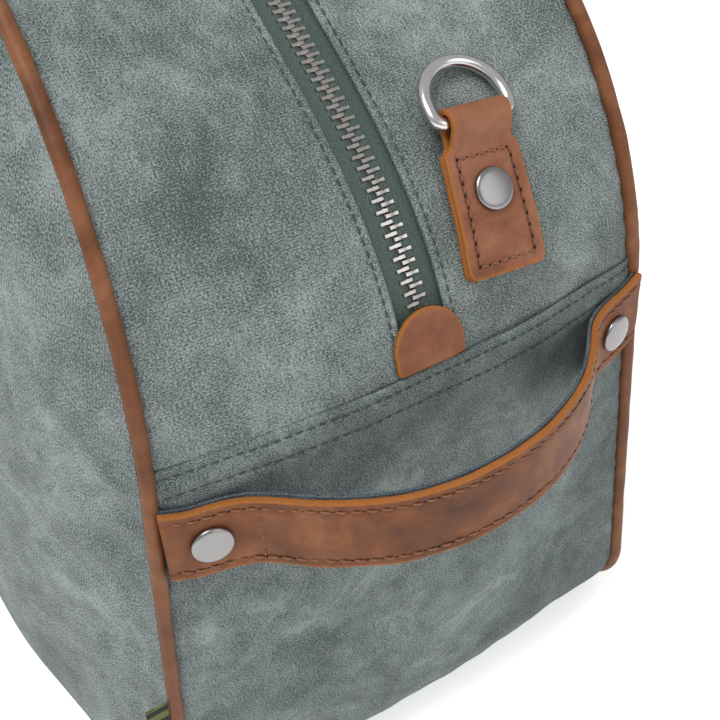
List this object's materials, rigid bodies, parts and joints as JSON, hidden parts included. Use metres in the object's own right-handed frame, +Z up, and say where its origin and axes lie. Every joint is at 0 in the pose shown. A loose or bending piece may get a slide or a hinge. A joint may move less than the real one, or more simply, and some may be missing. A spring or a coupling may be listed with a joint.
{
  "type": "weekender bag",
  "caption": "Soft canvas weekender bag with leather piping, a strap handle on each end, carry handles, a zip along the top and D-rings for a shoulder strap.",
  "frame": {"origin": "middle of the bag's bottom, on the surface it stands on", "axes": "+X along the bag's length, -Y the front side, +Z up"},
  "size_m": [0.594, 0.3102, 0.3446],
  "materials": {
    "canvas": "waxed cotton canvas, matt with chalky creases",
    "lining": "smooth cotton lining",
    "leather": "oiled pull-up leather",
    "backing": "dark canvas backing",
    "zip_tape": "woven herringbone tape",
    "nickel": "brushed nickel",
    "filler": "twisted cotton cord",
    "board": "stiff plastic board",
    "label": "woven ribbon"
  },
  "bodies": {
    "bag": {"lower_gusset": "canvas", "gusset_lining": "lining", "base_board": "board", "side_label": "label", "front_panel": "canvas", "front_panel_lining": "lining", "front_piping": "leather", "front_piping_filler": "filler", "front_zip_gusset": "canvas", "front_zip_lining": "lining", "front_zip_tape": "zip_tape", "front_zip_teeth": "nickel", "front_handle_tabs": "leather", "front_handle_tab_rivets": "nickel", "back_panel": "canvas", "back_panel_lining": "lining", "back_piping": "leather", "back_piping_filler": "filler", "back_zip_gusset": "canvas", "back_zip_lining": "lining", "back_zip_tape": "zip_tape", "back_zip_teeth": "nickel", "back_handle_tabs": "leather", "back_handle_tab_rivets": "nickel", "right_end_handle": "leather", "right_end_handle_backing": "backing", "right_end_handle_rivets": "nickel", "right_d_ring_tab": "leather", "right_d_ring_rivet": "nickel", "right_zip_end_tab": "leather", "left_end_handle": "leather", "left_end_handle_backing": "backing", "left_end_handle_rivets": "nickel", "left_d_ring_tab": "leather", "left_d_ring_rivet": "nickel", "left_zip_end_tab": "leather"},
    "front_carry_handle": {"front_handle_rings": "nickel", "front_handle_grip": "leather"},
    "back_carry_handle": {"back_handle_rings": "nickel", "back_handle_grip": "leather"},
    "right_ring": {"right_d_ring": "nickel"},
    "left_ring": {"left_d_ring": "nickel"},
    "right_slider": {"right_zip_slider": "nickel"},
    "left_slider": {"left_zip_slider": "nickel"},
    "right_pull": {"right_zip_pull": "nickel", "right_zip_pull_strap": "leather"},
    "left_pull": {"left_zip_pull": "nickel", "left_zip_pull_strap": "leather"}
  },
  "joints": [
    {"name": "front_carry_handle_swing", "type": "hinge", "parent": "bag", "child": "front_carry_handle", "pos_m": [0, -0.12736, 0.24995], "axis": [-1, 0, 0], "range_deg": [0, 145]},
    {"name": "back_carry_handle_swing", "type": "hinge", "parent": "bag", "child": "back_carry_handle", "pos_m": [0, 0.12736, 0.24995], "axis": [1, 0, 0], "range_deg": [0, 145]},
    {"name": "right_ring_swing", "type": "hinge", "parent": "bag", "child": "right_ring", "pos_m": [0.23206, 0.03696, 0.26627], "axis": [0.0447, 0.9969, -0.0651], "range_deg": [0, 178]},
    {"name": "left_ring_swing", "type": "hinge", "parent": "bag", "child": "left_ring", "pos_m": [-0.23206, 0.03696, 0.26627], "axis": [0.0447, -0.9969, 0.0651], "range_deg": [0, 178]},
    {"name": "right_slider_slide", "type": "slide", "parent": "bag", "child": "right_slider", "axis": [1, 0, 0], "range_m": [0, 0.084]},
    {"name": "left_slider_slide", "type": "slide", "parent": "bag", "child": "left_slider", "axis": [-1, 0, 0], "range_m": [0, 0.084]},
    {"name": "right_pull_swing", "type": "hinge", "parent": "right_slider", "child": "right_pull", "pos_m": [0.009, 0, 0.3261], "axis": [0, -1, 0], "range_deg": [0, 88]},
    {"name": "left_pull_swing", "type": "hinge", "parent": "left_slider", "child": "left_pull", "pos_m": [-0.009, 0, 0.3261], "axis": [0, 1, 0], "range_deg": [0, 88]}
  ]
}
